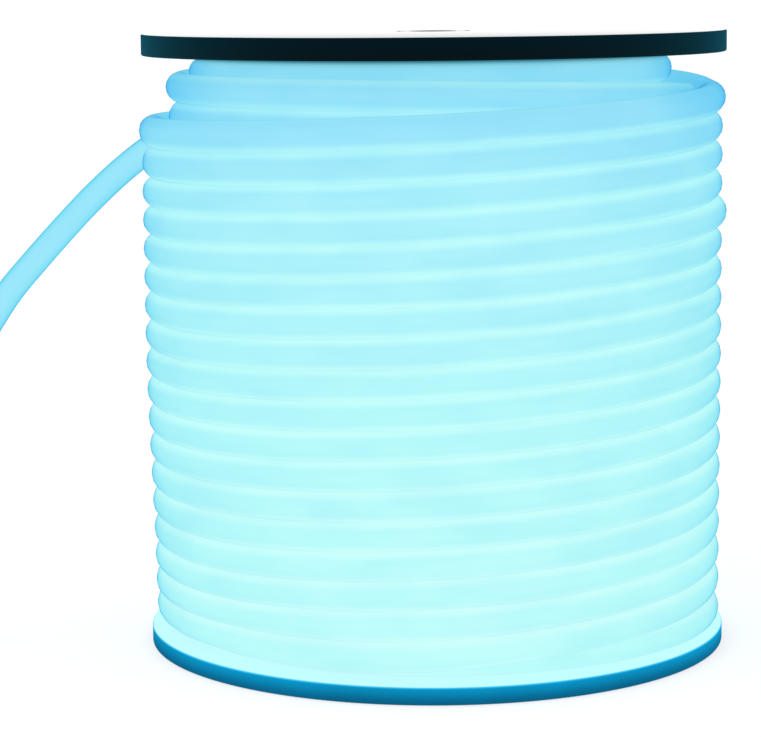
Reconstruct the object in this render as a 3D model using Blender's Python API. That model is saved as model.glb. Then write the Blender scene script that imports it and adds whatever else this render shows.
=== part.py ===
# LED neon flex strip, round section, wound in three layers on a two-flange reel.
# Metres, +Z up, the reel's axis on +Z, its bottom flange's underside at Z = 0.
# The strip's loose outer end leaves the back of the top turn and hangs to the floor.

import math

import bmesh
import bpy
from mathutils import Vector

for old in list(bpy.data.objects):
    bpy.data.objects.remove(old, do_unlink=True)

# Driving dimensions
STRIP_D = 0.016
TURN_SLACK = 0.00026
TURNS = 18
LAYERS = 3
BARREL_R = 0.11974
CORE_WALL = 0.0040
SPINDLE_R = 0.0125
FLANGE_BOTTOM_T = 0.0100
FLANGE_TOP_T = 0.0120
FLANGE_LIP = 0.0007
FLANGE_EDGE = 0.0010
TOP_SPACE = 0.00102
SPIGOT_H = 0.018
SPIGOT_WALL = 0.0040
CAP_WALL = 0.00125
CAP_L = 0.024
CAP_TIP_ROUND = 0.003
GAP = 0.0003
SEGMENTS = 32
FLANGE_SEGMENTS = 48

# Sizes that follow from them: the strip and its layers of turns, then the reel round them
STRIP_R = STRIP_D / 2
CAP_R = STRIP_R + CAP_WALL
TURN_PITCH = STRIP_D + TURN_SLACK
PACKED = STRIP_D + GAP
LAYER_STEP = math.sqrt(PACKED ** 2 - (TURN_PITCH / 2) ** 2)
INNER_TURN_R = BARREL_R + GAP + STRIP_R
SECOND_TURN_R = INNER_TURN_R + LAYER_STEP
TURN_R = INNER_TURN_R + (LAYERS - 1) * LAYER_STEP
FIRST_TURN_Z = FLANGE_BOTTOM_T + GAP + STRIP_R
LAST_TURN_Z = FIRST_TURN_Z + (TURNS - 1) * TURN_PITCH
TAIL_Z = LAST_TURN_Z + PACKED
SECOND_TOP_Z = TAIL_Z + TURN_PITCH / 2 + GAP
INNER_TOP_Z = SECOND_TOP_Z + TURN_PITCH / 2 - 2 * GAP
FLANGE_TOP_Z = INNER_TOP_Z + STRIP_R + TOP_SPACE
REEL_H = FLANGE_TOP_Z + FLANGE_TOP_T
FLANGE_R = TURN_R + STRIP_R + FLANGE_LIP
CORE_BORE_R = BARREL_R - CORE_WALL
SPIGOT_R = CORE_BORE_R - GAP
SPIGOT_INNER_R = SPIGOT_R - SPIGOT_WALL
WINDING_BORE_R = (BARREL_R + GAP) / math.cos(math.pi / SEGMENTS)

collection = bpy.data.collections.new("led_neon_flex_strip")
bpy.context.scene.collection.children.link(collection)


def material(name, color, roughness, glow=None):
    made = bpy.data.materials.new(name)
    made.use_nodes = True
    shader = made.node_tree.nodes["Principled BSDF"]
    shader.inputs["Base Color"].default_value = (*color, 1.0)
    shader.inputs["Roughness"].default_value = roughness
    if glow is not None:
        shader.inputs["Emission Color"].default_value = (*glow, 1.0)
        shader.inputs["Emission Strength"].default_value = 0.9
    return made


def smooth(obj, angle):
    for polygon in obj.data.polygons:
        polygon.use_smooth = True
    edit = bmesh.new()
    edit.from_mesh(obj.data)
    for edge in edit.edges:
        if len(edge.link_faces) == 2 and edge.calc_face_angle() > math.radians(angle):
            edge.smooth = False
    edit.to_mesh(obj.data)
    edit.free()


def turned(name, profile, segments, finish, angle=40.0):
    """Closed loop of (radius, height) points, turned once about Z."""
    mesh = bpy.data.meshes.new(name)
    edit = bmesh.new()
    rings = []
    for k in range(segments):
        turn = 2 * math.pi * k / segments
        c, s = math.cos(turn), math.sin(turn)
        rings.append([edit.verts.new((r * c, r * s, z)) for r, z in profile])
    count = len(profile)
    for k in range(segments):
        here, there = rings[k], rings[(k + 1) % segments]
        for i in range(count):
            j = (i + 1) % count
            edit.faces.new((here[i], here[j], there[j], there[i]))
    bmesh.ops.recalc_face_normals(edit, faces=edit.faces)
    edit.to_mesh(mesh)
    edit.free()
    obj = bpy.data.objects.new(name, mesh)
    collection.objects.link(obj)
    mesh.materials.append(finish)
    smooth(obj, angle)
    return obj


def arc(r, z, start, end, steps):
    """Points of one turn's section, angles in degrees from straight outwards, up positive."""
    points = []
    for i in range(steps + 1):
        a = math.radians(start + (end - start) * i / steps)
        points.append((r + STRIP_R * math.cos(a), z + STRIP_R * math.sin(a)))
    return points


top_plastic = material("flange_top_plastic", (0.006, 0.016, 0.026), 0.25)
bottom_plastic = material("flange_bottom_plastic", (0.010, 0.150, 0.400), 0.30)
core_plastic = material("core_tube_plastic", (0.020, 0.030, 0.040), 0.45)
silicone = material("neon_silicone", (0.40, 0.74, 0.88), 0.35, (0.36, 0.80, 0.98))
cap_silicone = material("end_cap_silicone", (0.62, 0.72, 0.76), 0.40)

# Flanges, each one turned disc with its spindle bore and the spigot that seats in the core tube


def edge_round(z, inwards):
    """The flange's small edge round, from the rim at height z towards its flat face."""
    e = FLANGE_EDGE
    return [(FLANGE_R, z + e * inwards), (FLANGE_R - 0.3 * e, z + 0.3 * e * inwards), (FLANGE_R - e, z)]


def flange(name, outer_z, inner_z, inwards, finish):
    spigot_z = inner_z + SPIGOT_H * inwards
    rim = edge_round(outer_z, inwards)[::-1] + edge_round(inner_z, -inwards)
    spigot = [
        (SPIGOT_R, inner_z), (SPIGOT_R, spigot_z), (SPIGOT_INNER_R, spigot_z), (SPIGOT_INNER_R, inner_z),
    ]
    bore = [(SPINDLE_R, inner_z), (SPINDLE_R, outer_z)]
    turned(name, rim + spigot + bore, FLANGE_SEGMENTS, finish)


flange("flange_bottom", 0.0, FLANGE_BOTTOM_T, 1, bottom_plastic)
flange("flange_top", REEL_H, FLANGE_TOP_Z, -1, top_plastic)

# Core tube that joins them
turned(
    "core_tube",
    [
        (CORE_BORE_R, FLANGE_TOP_Z - GAP), (CORE_BORE_R, FLANGE_BOTTOM_T + GAP),
        (BARREL_R, FLANGE_BOTTOM_T + GAP), (BARREL_R, FLANGE_TOP_Z - GAP),
    ],
    FLANGE_SEGMENTS,
    core_plastic,
)

# Winding: one turned solid, its turns as rounds on the outside and on both ends
section = arc(TURN_R, FIRST_TURN_Z, -150.0, -90.0, 2)
for k in range(TURNS):
    z = FIRST_TURN_Z + k * TURN_PITCH
    section += arc(TURN_R, z, -62.0, 62.0, 4)
    if k < TURNS - 1:
        section.append((TURN_R + 0.31 * STRIP_R, z + TURN_PITCH / 2))
section += arc(TURN_R, LAST_TURN_Z, 90.0, 130.0, 1)
section += arc(SECOND_TURN_R, SECOND_TOP_Z, -60.0, 105.0, 5)
section += arc(INNER_TURN_R, INNER_TOP_Z, -8.0, 90.0, 4)
section.append((WINDING_BORE_R, INNER_TOP_Z + STRIP_R))
section.append((WINDING_BORE_R, FIRST_TURN_Z - STRIP_R))
section += arc(INNER_TURN_R, FIRST_TURN_Z, -90.0, -30.0, 2)
section += arc(SECOND_TURN_R, FIRST_TURN_Z + TURN_PITCH / 2, -125.0, -55.0, 2)
turned("neon_winding", section, SEGMENTS, silicone, 75.0)

# Loose outer end of the strip: a curve through chosen route points. Those on the reel are an angle and
# how far they stand outside and above the last full turn's place. The free ones are steps along X and Y
# from where the strip leaves the reel, and a share of that height.
ON_REEL = [
    (0, 0.0005, 0.0),
    (14, 0.0010, 0.0020),
    (28, 0.0017, 0.0040),
    (43, 0.0021, 0.0051),
    (60, 0.0022, 0.0055),
    (78, 0.0022, 0.0053),
    (95, 0.0022, 0.0044),
]
FREE = [
    (-0.0398, -0.0079, 1.008),
    (-0.0734, -0.0180, 0.994),
    (-0.1059, -0.0311, 0.970),
    (-0.1368, -0.0470, 0.932),
    (-0.1629, -0.0629, 0.880),
    (-0.1910, -0.0829, 0.800),
    (-0.2231, -0.1119, 0.685),
    (-0.2406, -0.1289, 0.612),
    (-0.2572, -0.1519, 0.508),
    (-0.2692, -0.1759, 0.379),
    (-0.2802, -0.1999, 0.244),
    (-0.2942, -0.2299, 0.127),
    (-0.3142, -0.2659, 0.058),
    (-0.3392, -0.3059, 0.0315),
    (-0.3602, -0.3359, 0.0),
]
ROUTE = []
for angle, out, up in ON_REEL:
    a = math.radians(angle)
    ROUTE.append(((TURN_R + out) * math.cos(a), (TURN_R + out) * math.sin(a), TAIL_Z + up))
leaves = ROUTE[-1]
for dx, dy, share in FREE:
    ROUTE.append((leaves[0] + dx, leaves[1] + dy, max(CAP_R, share * TAIL_Z)))
TAIL_POINTS = 54


def spread(route, count):
    """Points at equal steps along a smooth curve through the route."""
    pts = [Vector(p) for p in route]
    ends = [pts[0] * 2 - pts[1]] + pts + [pts[-1] * 2 - pts[-2]]
    fine = []
    for i in range(1, len(ends) - 2):
        a, b, c, d = ends[i - 1], ends[i], ends[i + 1], ends[i + 2]
        for k in range(24):
            u = k / 24
            fine.append(0.5 * (2 * b + (c - a) * u + (2 * a - 5 * b + 4 * c - d) * u ** 2
                               + (3 * b - a - 3 * c + d) * u ** 3))
    fine.append(pts[-1])
    lengths = [0.0]
    for p, q in zip(fine, fine[1:]):
        lengths.append(lengths[-1] + (q - p).length)
    out = []
    j = 0
    for i in range(count):
        want = lengths[-1] * i / (count - 1)
        while j < len(lengths) - 2 and lengths[j + 1] < want:
            j += 1
        u = (want - lengths[j]) / (lengths[j + 1] - lengths[j])
        out.append(fine[j].lerp(fine[j + 1], u))
    return out


def tube(name, points, radius, finish):
    curve = bpy.data.curves.new(name, "CURVE")
    curve.dimensions = "3D"
    curve.bevel_depth = radius
    curve.bevel_resolution = 2
    curve.use_fill_caps = True
    spline = curve.splines.new("POLY")
    spline.points.add(len(points) - 1)
    for point, place in zip(spline.points, points):
        point.co = (*place, 1.0)
    obj = bpy.data.objects.new(name, curve)
    collection.objects.link(obj)
    curve.materials.append(finish)
    return obj


tail = spread(ROUTE, TAIL_POINTS)
tube("neon_tail", tail, STRIP_R, silicone)

# Moulded cap that closes the strip's end, lying level on the floor
along = tail[-1] - tail[-2]
along.z = 0.0
along.normalize()
cap_mesh = bpy.data.meshes.new("tail_end_cap")
edit = bmesh.new()
bmesh.ops.create_cone(
    edit, cap_ends=True, segments=24, radius1=CAP_R, radius2=CAP_R, depth=CAP_L,
)
tip_edges = [edge for edge in edit.edges if all(v.co.z > 0 for v in edge.verts)]
bmesh.ops.bevel(
    edit, geom=tip_edges, offset=CAP_TIP_ROUND, offset_type="OFFSET", segments=3,
    profile=0.5, affect="EDGES", material=-1,
)
turn = Vector((0, 0, 1)).rotation_difference(along).to_matrix().to_4x4()
bmesh.ops.transform(edit, matrix=turn, verts=edit.verts)
bmesh.ops.translate(edit, vec=tail[-1] + along * (GAP + CAP_L / 2), verts=edit.verts)
bmesh.ops.recalc_face_normals(edit, faces=edit.faces)
edit.to_mesh(cap_mesh)
edit.free()
cap = bpy.data.objects.new("tail_end_cap", cap_mesh)
collection.objects.link(cap)
cap_mesh.materials.append(cap_silicone)
smooth(cap, 50.0)
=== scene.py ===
# LED neon flex strip, glowing ice blue, wound on its upright reel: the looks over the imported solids.

import math

import bmesh
import bpy
from mathutils import Matrix, Vector


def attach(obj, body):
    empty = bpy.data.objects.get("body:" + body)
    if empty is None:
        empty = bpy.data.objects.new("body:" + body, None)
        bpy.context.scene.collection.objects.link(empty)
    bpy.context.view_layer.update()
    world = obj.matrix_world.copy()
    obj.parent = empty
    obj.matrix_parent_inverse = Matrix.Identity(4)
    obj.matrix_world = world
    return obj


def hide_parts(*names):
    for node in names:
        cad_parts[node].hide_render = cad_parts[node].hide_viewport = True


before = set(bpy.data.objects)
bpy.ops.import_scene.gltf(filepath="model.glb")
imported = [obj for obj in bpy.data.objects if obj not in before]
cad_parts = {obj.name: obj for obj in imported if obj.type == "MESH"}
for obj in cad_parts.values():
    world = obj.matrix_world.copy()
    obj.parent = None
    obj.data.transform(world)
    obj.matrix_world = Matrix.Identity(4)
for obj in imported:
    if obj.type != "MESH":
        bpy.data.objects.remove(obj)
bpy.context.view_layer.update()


# Camera

PHOTO_WIDTH = 761
FOCAL_PIXELS = 2729.3
AXIS_RIGHT_OF_CENTRE = 55.2
CAMERA_AT = (0.0, -1.5561, 0.3782)
CAMERA_DOWN = 0.1423
CAMERA_ROLL = -0.009

camera_data = bpy.data.cameras.new("photo_camera")
camera_data.sensor_width = 36.0
camera_data.lens = FOCAL_PIXELS / PHOTO_WIDTH * camera_data.sensor_width
camera_data.clip_start = 0.05
camera_data.clip_end = 200.0
camera = bpy.data.objects.new("photo_camera", camera_data)
bpy.context.scene.collection.objects.link(camera)
aim_left = math.atan(AXIS_RIGHT_OF_CENTRE / FOCAL_PIXELS)
camera.matrix_world = (
    Matrix.Translation(CAMERA_AT)
    @ Matrix.Rotation(aim_left, 4, "Z")
    @ Matrix.Rotation(math.pi / 2 - CAMERA_DOWN, 4, "X")
    @ Matrix.Rotation(CAMERA_ROLL, 4, "Z")
)
bpy.context.scene.camera = camera


# Sizes, in metres

STRIP_R = 0.008
INNER_R = 0.1288
CAP_R = 0.00925
CAP_L = 0.024
GAP = 0.0003
TURN_R = 0.156295
TAIL_Z = 0.31102
FLANGE_R = 0.164995
FLANGE_BOTTOM_T = 0.010
FLANGE_TOP_Z = 0.336
REEL_H = 0.348
SPINDLE_R = 0.0125
COLLAR_R = 0.0200
GROOVE_HALF = 0.0010
GROOVE_DEPTH = 0.0005
CORE_BORE_R = 0.11574
SPIGOT_R = CORE_BORE_R - GAP
SPIGOT_INNER_R = SPIGOT_R - 0.004
SPIGOT_H = 0.018
RIM_ROUND = 0.0010
MERGE_WITHIN = 0.00001

# The winding by number of turns: the innermost layer from INNER_START to INNER_END, the second layer from
# SECOND_START to 0, and the outer one from 0, on the right, to TURNS, where the loose end goes on
INNER_START = -37.75
INNER_END = -18.83
SECOND_START = -18.58
TURNS = 18
TURN_LENGTH = 0.92
WOUND_LENGTH = (TURNS - INNER_START) * TURN_LENGTH

# The loose end: the light that its open side gets, and the lengths between which it leaves its neighbours
OPEN_ABOVE = 0.65
LEAVES = (0.10, 0.34)


def smooth_step(low, high, value):
    share = min(1.0, max(0.0, (value - low) / (high - low)))
    return share * share * (3.0 - 2.0 * share)


# Mesh helpers

def finished(bm, name, *materials, crease=40.0):
    """The bmesh as an object at the origin, smooth but for edges sharper than crease."""
    mesh = bpy.data.meshes.new(name)
    for edge in bm.edges:
        if len(edge.link_faces) == 2 and edge.calc_face_angle() > math.radians(crease):
            edge.smooth = False
    for face in bm.faces:
        face.smooth = True
    bm.to_mesh(mesh)
    bm.free()
    made = bpy.data.objects.new(name, mesh)
    bpy.context.scene.collection.objects.link(made)
    for material in materials:
        mesh.materials.append(material)
    return made


SAME_POINT = 0.000002


def strip_sheet(columns, sides, place):
    """A flat sheet rolled up into the strip, with steps along it and sides round its section.
    place(step, side) gives a point, how much its neighbours light it, how far it has left them and
    its distance along the strip."""
    bm = bmesh.new()
    bm.loops.layers.uv.new("along_around")
    seam, free, along = (bm.verts.layers.float.new(name) for name in ("seam", "free", "along"))
    bmesh.ops.create_grid(bm, x_segments=columns, y_segments=sides, size=1.0, calc_uvs=True)
    for vert in bm.verts:
        step = (vert.co.x + 1.0) / 2.0 * columns
        side = (vert.co.y + 1.0) / 2.0 * sides
        vert.co, vert[seam], vert[free], vert[along] = place(round(step), round(side) % sides)
    bmesh.ops.remove_doubles(bm, verts=bm.verts, dist=SAME_POINT)
    open_ends = [edge for edge in bm.edges if len(edge.link_faces) == 1]
    bmesh.ops.holes_fill(bm, edges=open_ends, sides=0)
    bmesh.ops.recalc_face_normals(bm, faces=bm.faces)
    return bm


def lathe(profile, steps):
    """A closed loop of (radius, height) points spun once about Z."""
    bm = bmesh.new()
    verts = [bm.verts.new((r, 0.0, z)) for r, z in profile]
    edges = [bm.edges.new((a, b)) for a, b in zip(verts, verts[1:] + verts[:1])]
    bmesh.ops.spin(
        bm, geom=verts + edges, cent=(0, 0, 0), axis=(0, 0, 1), angle=2 * math.pi, steps=steps,
        use_merge=True, use_duplicate=False,
    )
    bmesh.ops.remove_doubles(bm, verts=bm.verts, dist=MERGE_WITHIN)
    bmesh.ops.recalc_face_normals(bm, faces=bm.faces)
    return bm


ROUND_STEPS = 4


def rounded(corner_r, corner_z, radius, towards_r, towards_z):
    """Quarter round at a corner of a lathe profile, from the face along Z to the face along R."""
    points = []
    for i in range(ROUND_STEPS + 1):
        a = math.pi / 2 * i / ROUND_STEPS
        points.append((
            corner_r + towards_r * radius * (1 - math.cos(a)),
            corner_z + towards_z * radius * (1 - math.sin(a)),
        ))
    return points


# Materials

def shader_of(name):
    material = bpy.data.materials.new(name)
    material.use_nodes = True
    return material, material.node_tree, material.node_tree.nodes["Principled BSDF"]


def node(tree, kind, **values):
    made = tree.nodes.new(kind)
    for key, value in values.items():
        setattr(made, key, value)
    return made


def ramp(tree, source, stops, ease="EASE"):
    made = node(tree, "ShaderNodeValToRGB")
    made.color_ramp.interpolation = ease
    points = made.color_ramp.elements
    points[0].position, points[-1].position = stops[0][0], stops[-1][0]
    points[0].color, points[-1].color = (*stops[0][1], 1.0), (*stops[-1][1], 1.0)
    for place, color in stops[1:-1]:
        points.new(place).color = (*color, 1.0)
    tree.links.new(source, made.inputs["Fac"])
    return made.outputs["Color"]


def grey(value):
    return (value, value, value)


def math_node(tree, operation, *values):
    made = node(tree, "ShaderNodeMath", operation=operation)
    for socket, value in zip(made.inputs, values):
        if isinstance(value, (int, float)):
            socket.default_value = value
        else:
            tree.links.new(value, socket)
    return made.outputs[0]


def mix_colors(tree, kind, share, a, b):
    made = node(tree, "ShaderNodeMix", data_type="RGBA", blend_type=kind)
    factor, first, second = made.inputs[0], made.inputs[6], made.inputs[7]
    for socket, value in ((factor, share), (first, a), (second, b)):
        if isinstance(value, (int, float)):
            socket.default_value = value
        elif isinstance(value, tuple):
            socket.default_value = (*value, 1.0)
        else:
            tree.links.new(value, socket)
    return made.outputs[2]


def noise(tree, coordinates, scale, detail, stretch=(1.0, 1.0, 1.0)):
    mapping = node(tree, "ShaderNodeMapping")
    mapping.inputs["Scale"].default_value = stretch
    tree.links.new(coordinates, mapping.inputs["Vector"])
    made = node(tree, "ShaderNodeTexNoise")
    made.inputs["Scale"].default_value = scale
    made.inputs["Detail"].default_value = detail
    tree.links.new(mapping.outputs["Vector"], made.inputs["Vector"])
    return made.outputs["Fac"]


def bump(tree, shader, height, strength, distance):
    made = node(tree, "ShaderNodeBump")
    made.inputs["Strength"].default_value = strength
    made.inputs["Distance"].default_value = distance
    tree.links.new(height, made.inputs["Height"])
    tree.links.new(made.outputs["Normal"], shader.inputs["Normal"])


def linear(red, green, blue):
    """A colour given as it shows on a screen, 0 to 255, in the shader's linear values."""
    channels = []
    for value in (red, green, blue):
        share = value / 255.0
        channels.append(share / 12.92 if share <= 0.04045 else ((share + 0.055) / 1.055) ** 2.4)
    return tuple(channels)


# The sleeve's tinted skin on the winding and on the loose end, and how much of it is left in a seam
SKIN_WOUND = (0.915, 0.970, 0.992)
SKIN_FREE = (0.620, 0.905, 0.960)
SKIN_IN_SEAM = 0.42
SKIN_FADES = (0.25, 0.80)

# The sleeve's own colour and how much of it the room's light shows, how strongly the sleeve glows, and
# the most that the two factors below come to
SLEEVE_BASE = (0.07, 0.08, 0.085)
ROOM_SHOWS = 0.7
GLOW_STRENGTH = 1.6
EVEN_MOST = 1.2
FREE_MOST = 1.5


def evened(seam):
    """How much brighter the glow is behind the winding's tinted skin, to look the same in front of it.
    seam is how far round the section towards its neighbour a point is."""
    slant = 1.0 / math.sqrt(1.0 - min(seam, 0.97) ** 2)
    share = 1.0 - (1.0 - SKIN_IN_SEAM) * smooth_step(*SKIN_FADES, seam)
    return tuple(1.0 / (1.0 - share + share * tint ** slant) / EVEN_MOST for tint in SKIN_WOUND)


def freed(free):
    """What that grows by where the strip has left its neighbours and its skin looks deeper."""
    return tuple(a / (a + (b - a) * free) / FREE_MOST for a, b in zip(SKIN_WOUND, SKIN_FREE))


# The glow's colours as they show on screen: on a turn's crown and in the valley between two turns,
# each by its share of the reel's height, and on the loose end. The valley's paler colour is painted
# light from the neighbouring turns. The upper flange's shadow starts at UNDER_FLANGE.
CROWN = [
    (0.00, (193, 253, 249)),
    (0.45, (181, 247, 248)),
    (0.76, (169, 238, 249)),
    (0.87, (150, 226, 248)),
]
VALLEY = [
    (0.00, (207, 253, 250)),
    (0.42, (201, 254, 250)),
    (0.77, (189, 250, 250)),
    (0.93, (168, 237, 249)),
]
LOOSE = (160, 231, 249)
UNDER_FLANGE = 0.952
STREAK_LENGTH = 0.075
HALF_WIDTH = 0.17
WHITE = (1.0, 1.0, 1.0)


def multiplied(tree, first, *factors):
    for factor in factors:
        first = mix_colors(tree, "MULTIPLY", 1.0, first, factor)
    return first


def glow_by_place(tree, where, seam):
    """The winding's glow: paler towards the foot, paler in the valleys with painted light from the
    neighbouring turns, and painted shade that makes it darker and bluer towards its sides and most at its
    upper ends.
    """
    parts = node(tree, "ShaderNodeSeparateXYZ")
    tree.links.new(where, parts.inputs[0])
    height = math_node(tree, "DIVIDE", parts.outputs["Z"], REEL_H)
    crown, valley = (
        ramp(tree, height, [(stop, linear(*color)) for stop, color in stops], "LINEAR")
        for stops in (CROWN, VALLEY)
    )
    # Painted light: the valleys between turns take the paler valley colour, as lit by the neighbouring
    # turns
    valley_neighbour_light = ramp(tree, seam, [(0.42, grey(0.0)), (0.91, grey(1.0))])
    glow = mix_colors(tree, "MIX", valley_neighbour_light, crown, valley)
    clouds = noise(tree, where, 24.0, 2.0, (1.0, 1.0, 1.7))
    patches = ramp(tree, clouds, [(0.32, (0.95, 0.975, 0.995)), (0.60, WHITE)])
    off_centre = math_node(tree, "ABSOLUTE", parts.outputs["X"])
    sideways = math_node(tree, "DIVIDE", off_centre, HALF_WIDTH)
    # Painted shade: the glow is made darker and a little bluer towards the winding's left and right sides
    sides = ramp(tree, sideways, [(0.35, WHITE), (0.90, (0.94, 0.985, 0.99))], "LINEAR")
    glow = multiplied(tree, glow, patches, sides)
    shade = ramp(tree, height, [
        (UNDER_FLANGE, WHITE), (UNDER_FLANGE + 0.006, (0.60, 0.72, 0.76)),
        (UNDER_FLANGE + 0.0106, (0.07, 0.15, 0.20)),
    ], "LINEAR")
    flat = node(tree, "ShaderNodeCombineXYZ")
    tree.links.new(parts.outputs["X"], flat.inputs[0])
    tree.links.new(parts.outputs["Y"], flat.inputs[1])
    radius = node(tree, "ShaderNodeVectorMath", operation="LENGTH")
    tree.links.new(flat.outputs[0], radius.inputs[0])
    innermost = ramp(tree, radius.outputs["Value"], [
        (INNER_R + STRIP_R + 0.0024, grey(1.0)), (INNER_R + STRIP_R + 0.0050, grey(0.0)),
    ])
    glow = mix_colors(tree, "MULTIPLY", innermost, glow, shade)
    # Painted shade: the winding's upper left and right ends are made darker and bluer
    upper_end_shade = ramp(tree, sideways, [(0.66, WHITE), (0.82, (0.74, 0.91, 0.99))])
    high_up = ramp(tree, height, [(0.84, grey(0.0)), (0.90, grey(1.0))])
    return mix_colors(tree, "MULTIPLY", high_up, glow, upper_end_shade)


def long_streaks(tree):
    """Faint lengthwise streaks that run on from the winding into the loose end."""
    along = node(tree, "ShaderNodeAttribute", attribute_name="along").outputs["Fac"]
    sheet = node(tree, "ShaderNodeUVMap", uv_map="along_around").outputs["UV"]
    round_section = node(tree, "ShaderNodeSeparateXYZ")
    tree.links.new(sheet, round_section.inputs[0])
    unrolled = node(tree, "ShaderNodeCombineXYZ")
    tree.links.new(along, unrolled.inputs[0])
    tree.links.new(round_section.outputs["Y"], unrolled.inputs[1])
    grain = noise(tree, unrolled.outputs[0], 1.0, 3.0, (1 / STREAK_LENGTH, 3.0, 1.0))
    return ramp(tree, grain, [(0.35, (0.93, 0.975, 0.99)), (0.65, WHITE)])


def glowing_silicone():
    """The lit sleeve: light from inside under a thin tinted skin, which deepens towards its outline."""
    material, tree, shader = shader_of("lit_silicone_sleeve")
    where = node(tree, "ShaderNodeTexCoord").outputs["Object"]
    seam = node(tree, "ShaderNodeAttribute", attribute_name="seam").outputs["Fac"]
    free = node(tree, "ShaderNodeAttribute", attribute_name="free").outputs["Fac"]
    glow = mix_colors(tree, "MIX", free, glow_by_place(tree, where, seam), linear(*LOOSE))
    even_stops = (0.0, 0.25, 0.4, 0.55, 0.7, 0.8, 0.9, 0.96)
    even = ramp(tree, seam, [(stop, evened(stop)) for stop in even_stops], "LINEAR")
    opened = ramp(tree, free, [(stop, freed(stop)) for stop in (0.0, 0.5, 1.0)], "LINEAR")
    glow = multiplied(tree, glow, long_streaks(tree), even, opened)
    through = node(tree, "ShaderNodeVectorMath", operation="MULTIPLY_ADD")
    tree.links.new(glow, through.inputs[0])
    through.inputs[1].default_value = [EVEN_MOST * FREE_MOST / GLOW_STRENGTH] * 3
    through.inputs[2].default_value = [-ROOM_SHOWS * base / GLOW_STRENGTH for base in SLEEVE_BASE]
    tree.links.new(through.outputs[0], shader.inputs["Emission Color"])
    shader.inputs["Emission Strength"].default_value = GLOW_STRENGTH
    shader.inputs["Base Color"].default_value = (*SLEEVE_BASE, 1.0)
    shader.inputs["Specular IOR Level"].default_value = 0.0
    tree.links.new(ramp(tree, seam, [
        (SKIN_FADES[0], grey(1.0)), (SKIN_FADES[1], grey(SKIN_IN_SEAM)),
    ]), shader.inputs["Coat Weight"])
    skin = mix_colors(tree, "MIX", free, SKIN_WOUND, SKIN_FREE)
    tree.links.new(skin, shader.inputs["Coat Tint"])
    shader.inputs["Coat IOR"].default_value = 1.0
    shader.inputs["Coat Roughness"].default_value = 0.35
    pores = noise(tree, where, 900.0, 3.0)
    gloss = ramp(tree, pores, [(0.3, grey(0.30)), (0.7, grey(0.42))])
    tree.links.new(gloss, shader.inputs["Roughness"])
    bump(tree, shader, pores, 0.05, 0.0004)
    return material


def flange_plastic(name, heights, lower, upper, roughness, sheen, lit=0.0):
    """Moulded plastic rim: lower and upper are its colours at the two heights of its faces.
    sheen is the blue bloom at a low angle, and lit is how brightly the winding lights the face under it."""
    material, tree, shader = shader_of(name)
    where = node(tree, "ShaderNodeTexCoord").outputs["Object"]
    parts = node(tree, "ShaderNodeSeparateXYZ")
    tree.links.new(where, parts.inputs[0])
    share = node(tree, "ShaderNodeMapRange")
    share.inputs["From Min"].default_value, share.inputs["From Max"].default_value = heights
    tree.links.new(parts.outputs["Z"], share.inputs["Value"])
    shade = ramp(tree, share.outputs["Result"], [(0.0, lower), (1.0, upper)])
    flow = noise(tree, where, 9.0, 3.0)
    streaks = ramp(tree, flow, [(0.3, grey(0.82)), (0.7, grey(1.0))])
    tree.links.new(multiplied(tree, shade, streaks), shader.inputs["Base Color"])
    if lit:
        spill = ramp(tree, share.outputs["Result"], [
            (0.86, grey(0.0)), (0.94, (0.03, 0.30, 0.42)), (1.0, (0.66, 0.86, 0.62)),
        ])
        tree.links.new(spill, shader.inputs["Emission Color"])
        shader.inputs["Emission Strength"].default_value = lit
    grain = noise(tree, where, 1400.0, 2.0)
    gloss = ramp(tree, grain, [(0.3, grey(roughness * 0.85)), (0.7, grey(roughness * 1.15))])
    tree.links.new(gloss, shader.inputs["Roughness"])
    shader.inputs["Specular IOR Level"].default_value = 0.0
    shader.inputs["Sheen Weight"].default_value = sheen
    shader.inputs["Sheen Roughness"].default_value = 0.5
    shader.inputs["Sheen Tint"].default_value = (0.05, 0.60, 0.90, 1.0)
    bump(tree, shader, grain, 0.08, 0.0003)
    return material


def polished_face():
    """The flange's flat outer face, polished: it mirrors the pale surroundings at a low angle."""
    material, tree, shader = shader_of("polished_flange_face")
    where = node(tree, "ShaderNodeTexCoord").outputs["Object"]
    flow = noise(tree, where, 12.0, 3.0)
    tree.links.new(ramp(tree, flow, [
        (0.3, (0.003, 0.010, 0.016)), (0.7, (0.005, 0.015, 0.022)),
    ]), shader.inputs["Base Color"])
    shader.inputs["Roughness"].default_value = 0.03
    shader.inputs["Specular IOR Level"].default_value = 0.2
    shader.inputs["Coat Weight"].default_value = 1.0
    shader.inputs["Coat Roughness"].default_value = 0.02
    return material


def cap_silicone():
    """The moulded end cap: milky silicone that takes some light from the strip's cut end."""
    material, tree, shader = shader_of("moulded_cap_silicone")
    where = node(tree, "ShaderNodeTexCoord").outputs["Object"]
    clouds = noise(tree, where, 160.0, 3.0)
    tree.links.new(ramp(tree, clouds, [
        (0.3, (0.50, 0.62, 0.66)), (0.7, (0.62, 0.74, 0.78)),
    ]), shader.inputs["Base Color"])
    light = node(tree, "ShaderNodeAttribute", attribute_name="seam").outputs["Fac"]
    tree.links.new(ramp(tree, light, [
        (0.0, (0.01, 0.04, 0.05)), (1.0, (0.16, 0.46, 0.56)),
    ]), shader.inputs["Emission Color"])
    shader.inputs["Emission Strength"].default_value = 1.0
    shader.inputs["Roughness"].default_value = 0.38
    skin = noise(tree, where, 1100.0, 3.0)
    bump(tree, shader, skin, 0.06, 0.0003)
    return material


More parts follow.
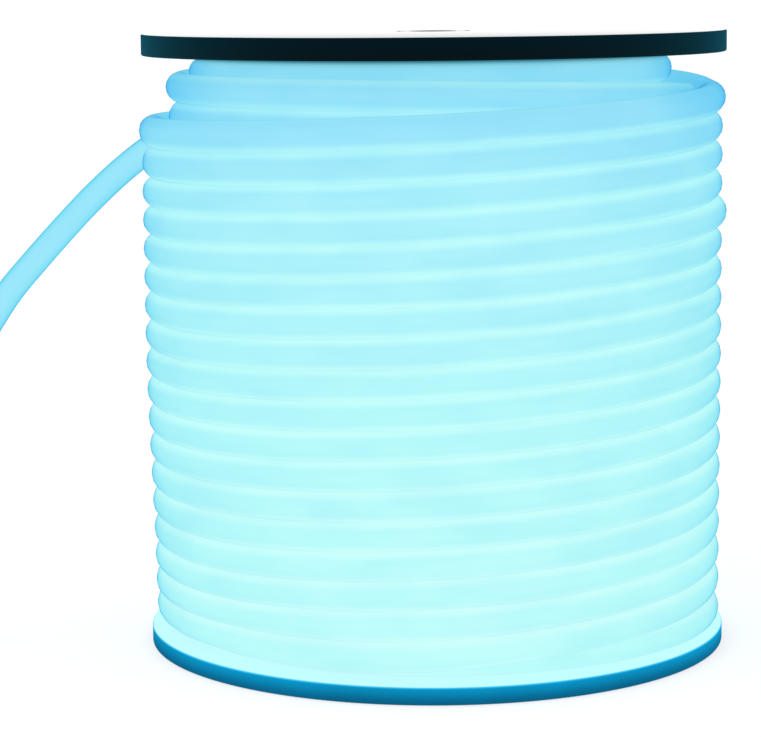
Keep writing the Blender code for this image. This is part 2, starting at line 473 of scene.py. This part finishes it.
def barrel_plastic():
    material, tree, shader = shader_of("barrel_plastic")
    where = node(tree, "ShaderNodeTexCoord").outputs["Object"]
    flow = noise(tree, where, 14.0, 3.0, (1.0, 1.0, 0.2))
    tree.links.new(ramp(tree, flow, [
        (0.3, (0.016, 0.024, 0.032)), (0.7, (0.026, 0.038, 0.050)),
    ]), shader.inputs["Base Color"])
    grain = noise(tree, where, 1000.0, 2.0)
    tree.links.new(ramp(tree, grain, [(0.3, grey(0.40)), (0.7, grey(0.52))]), shader.inputs["Roughness"])
    bump(tree, shader, grain, 0.10, 0.0003)
    return material


silicone = glowing_silicone()
top_edge = flange_plastic(
    "top_flange_edge", (FLANGE_TOP_Z, REEL_H), (0.0024, 0.0052, 0.0058), (0.0010, 0.0062, 0.0110),
    roughness=0.5, sheen=0.2,
)
top_face = polished_face()
bottom_plastic = flange_plastic(
    "bottom_flange_plastic", (0.0, FLANGE_BOTTOM_T), (0.003, 0.13, 0.26), (0.003, 0.31, 0.60),
    roughness=0.35, sheen=0.1, lit=0.85,
)


# The strip's loose end

# While still on the reel: angle in degrees, and how far outside and above the last full turn's place
ON_REEL = [
    (0, 0.0005, 0.0),
    (14, 0.0010, 0.0020),
    (28, 0.0017, 0.0040),
    (43, 0.0021, 0.0051),
    (60, 0.0022, 0.0055),
    (78, 0.0022, 0.0053),
    (95, 0.0022, 0.0044),
]
# Past the reel: steps along X and Y from where it leaves, and a share of the height that it leaves at
FREE = [
    (-0.0398, -0.0079, 1.008),
    (-0.0734, -0.0180, 0.994),
    (-0.1059, -0.0311, 0.970),
    (-0.1368, -0.0470, 0.932),
    (-0.1629, -0.0629, 0.880),
    (-0.1910, -0.0829, 0.800),
    (-0.2231, -0.1119, 0.685),
    (-0.2406, -0.1289, 0.612),
    (-0.2572, -0.1519, 0.508),
    (-0.2692, -0.1759, 0.379),
    (-0.2802, -0.1999, 0.244),
    (-0.2942, -0.2299, 0.127),
    (-0.3142, -0.2659, 0.058),
    (-0.3392, -0.3059, 0.0315),
    (-0.3602, -0.3359, 0.0),
]
tail_route = []
for angle, out, up in ON_REEL:
    a = math.radians(angle)
    tail_route.append(Vector(((TURN_R + out) * math.cos(a), (TURN_R + out) * math.sin(a), TAIL_Z + up)))
leaves = tail_route[-1].copy()
for dx, dy, share in FREE:
    tail_route.append(Vector((leaves.x + dx, leaves.y + dy, max(CAP_R, share * TAIL_Z))))


FINE_STEPS = 24


def along_route(route, count):
    """Points at equal steps along a smooth curve through the route, both ends included."""
    ends = [route[0] * 2 - route[1]] + route + [route[-1] * 2 - route[-2]]
    fine = []
    for a, b, c, d in zip(ends, ends[1:], ends[2:], ends[3:]):
        for k in range(FINE_STEPS):
            u = k / FINE_STEPS
            fine.append(0.5 * (2 * b + (c - a) * u + (2 * a - 5 * b + 4 * c - d) * u ** 2
                               + (3 * b - a - 3 * c + d) * u ** 3))
    fine.append(route[-1])
    lengths = [0.0]
    for p, q in zip(fine, fine[1:]):
        lengths.append(lengths[-1] + (q - p).length)
    points = []
    j = 0
    for i in range(count):
        want = lengths[-1] * i / (count - 1)
        while j < len(lengths) - 2 and lengths[j + 1] < want:
            j += 1
        points.append(fine[j].lerp(fine[j + 1], (want - lengths[j]) / (lengths[j + 1] - lengths[j])))
    return points, lengths[-1]


TAIL_STEPS = 160
TAIL_SIDES = 20
tail_points, tail_length = along_route(tail_route, TAIL_STEPS + 1)


def tail_place(step, side_number):
    around = 2 * math.pi * side_number / TAIL_SIDES - math.pi / 2
    here = tail_points[step]
    along = (tail_points[min(step + 1, TAIL_STEPS)] - tail_points[max(step - 1, 0)]).normalized()
    side = along.cross(Vector((0, 0, 1))).normalized()
    upward = side.cross(along)
    point = here + side * STRIP_R * math.cos(around) + upward * STRIP_R * math.sin(around)
    travelled = tail_length * step / TAIL_STEPS
    free = smooth_step(*LEAVES, travelled)
    rise = math.sin(around)
    glow = (1.0 - free) * (OPEN_ABOVE * max(0.0, rise) + max(0.0, -rise))
    return point, glow, free, WOUND_LENGTH + travelled


tail_sheet = strip_sheet(TAIL_STEPS, TAIL_SIDES, tail_place)
tail = finished(tail_sheet, "loose_strip_end", silicone, crease=60.0)
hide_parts("neon_tail")
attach(tail, "root")


# The moulded end cap

CAP_STEPS = 48
NO_AREA = 1e-12


def end_cap():
    """Sleeve over the strip's end, with two grip ribs and a rounded tip, pointing along the floor."""
    rib = 0.0004
    profile = [
        (STRIP_R + 0.0002, 0.0), (CAP_R - 0.0007, 0.0), (CAP_R - 0.0002, 0.0003), (CAP_R - rib, 0.0010),
        (CAP_R - rib, 0.0040), (CAP_R, 0.0046), (CAP_R, 0.0060), (CAP_R - rib, 0.0066),
        (CAP_R - rib, 0.0090), (CAP_R, 0.0096), (CAP_R, 0.0110), (CAP_R - rib, 0.0116),
        (CAP_R - rib, CAP_L - 0.0042), (CAP_R - 0.0010, CAP_L - 0.0026), (CAP_R - 0.0023, CAP_L - 0.0010),
        (CAP_R - 0.0042, CAP_L - 0.0002), (0.0012, CAP_L), (0.0, CAP_L), (0.0, 0.0006), (STRIP_R, 0.0006),
    ]
    bm = lathe(profile, CAP_STEPS)
    collapsed = [face for face in bm.faces if face.calc_area() < NO_AREA]
    bmesh.ops.delete(bm, geom=collapsed, context="FACES")
    bmesh.ops.recalc_face_normals(bm, faces=bm.faces)
    # Painted light: the glow the cap takes from the strip's cut end, kept in the seam layer, strongest at
    # its base and gone towards its tip
    seam = bm.verts.layers.float.new("seam")
    for vert in bm.verts:
        vert[seam] = 1.0 - smooth_step(0.0, CAP_L * 0.8, vert.co.z)
    along = tail_points[-1] - tail_points[-2]
    along.z = 0.0
    along.normalize()
    turn = Vector((0, 0, 1)).rotation_difference(along).to_matrix().to_4x4()
    place = Matrix.Translation(tail_points[-1] + along * (GAP / 2)) @ turn
    bmesh.ops.transform(bm, matrix=place, verts=bm.verts)
    return bm


cap = finished(end_cap(), "moulded_end_cap", cap_silicone(), crease=35.0)
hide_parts("tail_end_cap")
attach(cap, "root")


# The winding

BOTTOM_Z = 0.0183
OUTER_Z = 0.02048
OUTER_RISE = 0.01614
OUTER_DIP = 0.0111
OUTER_R = 0.15415
SLACK_TURN = 14.0
SLACK_OUT = 0.0027
SLACK_SPREAD = 0.055
SAG = 0.0040
SAG_AT = 0.728
SAG_SPREAD = 0.075
SECOND_R = 0.14217
SECOND_RISE = 0.01672
INNER_TOP = 0.3270
INNER_RISE = 0.01626
STEPS_OUT = -0.25
BULGE = 0.05


def outer_height(n):
    """Height of the outer layer at n turns: at the front it climbs towards the right.
    The first turns lie lower, lean less and sag a little at the front."""
    theta = 2 * math.pi * n
    laid = math.exp(-max(n, 0.0) / 1.2)
    dip = OUTER_DIP * (1 - 0.75 * laid) - 0.0023 * smooth_step(17.0, 17.5, n)
    lean = (1 - math.cos(theta)) / 2 - 0.2 * math.sin(theta)
    lower = 0.0024 * math.exp(-max(n, 0.0) / 0.4)
    z = OUTER_Z + OUTER_RISE * n - lower - dip * lean
    whole = math.floor(max(n, 0.0))
    sag = SAG * math.exp(-((n - whole - SAG_AT) / SAG_SPREAD) ** 2) * math.exp(-whole / 0.6)
    return max(BOTTOM_Z, z - sag)


def outer_radius(n):
    """The layer stands a little off the reel's axis: to the right at the bottom, to the left higher up.
    One turn was wound slack and stands out from the others at the right."""
    settled = smooth_step(-1.0, 11.0, n)
    off_axis = -0.00075 + 0.0020 * settled
    slack = SLACK_OUT * math.exp(-((n - SLACK_TURN) / SLACK_SPREAD) ** 2)
    leaving = 0.0015 * smooth_step(17.15, 17.5, n)
    return OUTER_R + 0.0024 * settled - off_axis * math.cos(2 * math.pi * n) + slack + leaving


def second_height(n):
    """The second layer climbs evenly, and its top turns arch a little at the front."""
    front = max(0.0, -math.sin(2 * math.pi * n))
    arch = 0.0030 * front * smooth_step(13.5, 18.0, -n)
    return BOTTOM_Z + SECOND_RISE * max(0.0, -n - 0.55) + arch


def inner_height(n):
    """The innermost layer's turns lie level and step down at the back."""
    back = INNER_END - n
    whole = math.floor(back)
    return max(BOTTOM_Z, INNER_TOP - INNER_RISE * (whole + smooth_step(0.62, 1.0, back - whole)))


def inner_radius(n):
    """The innermost layer: close on the barrel at the right and a little off it at the left."""
    return INNER_R - 0.0017 * math.cos(2 * math.pi * n)


def centre_line(n):
    """Radius and height of the strip's centre at n turns."""
    if n >= 0.0:
        return outer_radius(n), outer_height(n)
    if n >= STEPS_OUT:
        share = smooth_step(-0.22, -0.02, n)
        return SECOND_R + (outer_radius(0.0) - SECOND_R) * share, BOTTOM_Z
    if n >= SECOND_START:
        return SECOND_R + 0.0015 * smooth_step(-18.2, -18.5, n), second_height(n)
    if n >= INNER_END:
        share = smooth_step(INNER_END, SECOND_START, n)
        top = second_height(SECOND_START)
        inner = inner_radius(n)
        return inner + (SECOND_R - inner) * share, INNER_TOP + (top - INNER_TOP) * share
    return inner_radius(n), inner_height(n)


def half_heights(n):
    """Half the section's height upwards and downwards: turns that lie on each other fill the room there."""
    upward = downward = STRIP_R
    if n >= 0.0:
        z = outer_height(n)
        if n <= TURNS - 1:
            upward = (outer_height(n + 1) - z) / 2
        if n >= 1.0:
            downward = (z - outer_height(n - 1)) / 2
    elif SECOND_START < n < -1.6:
        downward = (second_height(n) - second_height(n + 1)) / 2
        if n > SECOND_START + 1:
            upward = (second_height(n - 1) - second_height(n)) / 2
    return upward, downward


def pressed(n):
    """How much the section bulges against the turns above and below it, 1 where it is round and free."""
    above = below = 1.0 + BULGE
    if n >= 0.0:
        above = 1.0 + BULGE - BULGE * smooth_step(TURNS - 1.0, TURNS - 0.7, n)
        below = 1.0 + BULGE * smooth_step(0.7, 1.0, n)
    elif n > SECOND_START:
        above = 1.0 + BULGE * smooth_step(SECOND_START + 0.8, SECOND_START + 1.1, n)
    else:
        above = 1.0
    return above, below


def seam_glow(n, around):
    """How much light the neighbouring turns add, 1 in the valley between two of them."""
    rise = math.sin(around)
    above = 1.0 - (1.0 - OPEN_ABOVE) * smooth_step(TURNS - 1.0, TURNS - 0.6, n)
    below = 0.9 if STEPS_OUT <= n < 1.0 else 1.0
    return above * max(0.0, rise) + below * max(0.0, -rise)


# Angles round the strip's section, in degrees: 0 is outwards and 90 is up. They lie closer where it shows.
SECTION = [-90, -74, -60, -42, -22, 0, 22, 42, 60, 74, 90, 116, 148, 180, 212, 244]

# Stretches of the winding with their steps a turn: finer where they show
STEP_PLAN = [
    (INNER_START, -19.6, 36),
    (-19.6, -17.4, 84),
    (-17.4, STEPS_OUT, 36),
    (STEPS_OUT, float(TURNS), 96),
]
stations = [INNER_START]
for start, end, per_turn in STEP_PLAN:
    count = max(1, round((end - start) * per_turn))
    stations += [start + (end - start) * (i + 1) / count for i in range(count)]


def winding_place(step, side):
    """A point of the winding's sheet. Turns that lie close are squeezed wider, the innermost ones less so
    at the right."""
    n = stations[step]
    around = math.radians(SECTION[side])
    r, z = centre_line(n)
    theta = 2 * math.pi * n
    upward, downward = half_heights(n)
    squeeze = (2 * STRIP_R / (upward + downward)) ** 0.4
    if n < INNER_END:
        squeeze *= 1.0 - 0.08 * max(0.0, math.cos(theta))
    rise = math.sin(around)
    radial = r + STRIP_R * squeeze * math.cos(around)
    bulge_up, bulge_down = pressed(n)
    if rise > 0:
        height = z + upward * min(1.0, bulge_up * rise)
    else:
        height = z - downward * min(1.0, -bulge_down * rise)
    point = (radial * math.cos(theta), radial * math.sin(theta), height)
    return point, seam_glow(n, around), 0.0, (n - INNER_START) * TURN_LENGTH


winding_sheet = strip_sheet(len(stations) - 1, len(SECTION), winding_place)
winding = finished(winding_sheet, "wound_strip", silicone, crease=70.0)
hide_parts("neon_winding")
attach(winding, "root")


# The reel

FLANGE_STEPS = 192
FLAT_WITHIN = 0.00005


def flange_mesh(outer_z, inner_z):
    """One flange: flat disc with a rounded rim, spindle bore with a collar round it, and its spigot."""
    inwards = 1.0 if inner_z > outer_z else -1.0
    spigot_z = inner_z + SPIGOT_H * inwards
    groove_z = outer_z + GROOVE_DEPTH * inwards
    outer_rim = rounded(FLANGE_R, outer_z, RIM_ROUND, -1, inwards)
    inner_rim = rounded(FLANGE_R, inner_z, RIM_ROUND, -1, -inwards)
    profile = outer_rim + [
        (COLLAR_R + GROOVE_HALF, outer_z), (COLLAR_R + GROOVE_HALF - 0.0003, groove_z),
        (COLLAR_R - GROOVE_HALF + 0.0003, groove_z), (COLLAR_R - GROOVE_HALF, outer_z),
        (SPINDLE_R + 0.0008, outer_z), (SPINDLE_R, outer_z + 0.0008 * inwards),
        (SPINDLE_R, inner_z - 0.0004 * inwards), (SPINDLE_R + 0.0004, inner_z),
        (SPIGOT_INNER_R, inner_z), (SPIGOT_INNER_R, spigot_z - 0.0005 * inwards),
        (SPIGOT_INNER_R + 0.0005, spigot_z), (SPIGOT_R - 0.0005, spigot_z),
        (SPIGOT_R, spigot_z - 0.0005 * inwards), (SPIGOT_R, inner_z),
    ] + inner_rim[::-1]
    return lathe(profile, FLANGE_STEPS)


def flange_piece(name, node_name, outer_z, inner_z, slot, *materials):
    bm = flange_mesh(outer_z, inner_z)
    if len(materials) > 1:
        for face in bm.faces:
            if abs(face.calc_center_median().z - outer_z) < FLAT_WITHIN:
                face.material_index = 1
    piece = finished(bm, name, *materials, crease=30.0)
    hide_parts(node_name)
    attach(piece, "root")


flange_piece("upper_flange", "flange_top", REEL_H, FLANGE_TOP_Z, "top_plastic", top_edge, top_face)
flange_piece("lower_flange", "flange_bottom", 0.0, FLANGE_BOTTOM_T, "bottom_plastic", bottom_plastic)

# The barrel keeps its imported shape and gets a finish
barrel_finish = barrel_plastic()
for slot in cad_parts["core_tube"].material_slots:
    slot.material = barrel_finish


# Floor, light and colour

def floor_paint():
    material, tree, shader = shader_of("pale_floor")
    where = node(tree, "ShaderNodeTexCoord").outputs["Object"]
    soft = noise(tree, where, 2.0, 2.0)
    tree.links.new(ramp(tree, soft, [(0.3, grey(0.40)), (0.7, grey(0.42))]), shader.inputs["Base Color"])
    shader.inputs["Roughness"].default_value = 0.9
    shader.inputs["Specular IOR Level"].default_value = 0.0
    shader.inputs["Emission Color"].default_value = (1.0, 1.0, 1.0, 1.0)
    shader.inputs["Emission Strength"].default_value = 0.62
    return material


ground = bmesh.new()
bmesh.ops.create_grid(ground, x_segments=8, y_segments=8, size=60.0)
bmesh.ops.translate(ground, vec=(0.0, 0.0, -0.0002), verts=ground.verts)
floor = finished(ground, "studio_floor", floor_paint())

world = bpy.data.worlds.new("studio_white")
bpy.context.scene.world = world
world.use_nodes = True
world.node_tree.nodes["Background"].inputs["Color"].default_value = (1.0, 1.0, 1.0, 1.0)
world.node_tree.nodes["Background"].inputs["Strength"].default_value = 1.02

lamp_data = bpy.data.lights.new("soft_box", "AREA")
lamp_data.shape = "RECTANGLE"
lamp_data.size = 1.6
lamp_data.size_y = 1.2
lamp_data.energy = 6.0
lamp = bpy.data.objects.new("soft_box", lamp_data)
lamp.location = (-1.2, -1.0, 1.9)
lamp.rotation_euler = (Vector((0, 0, 0.15)) - lamp.location).to_track_quat("-Z", "Y").to_euler()
bpy.context.scene.collection.objects.link(lamp)

bpy.context.scene.view_settings.view_transform = "Standard"
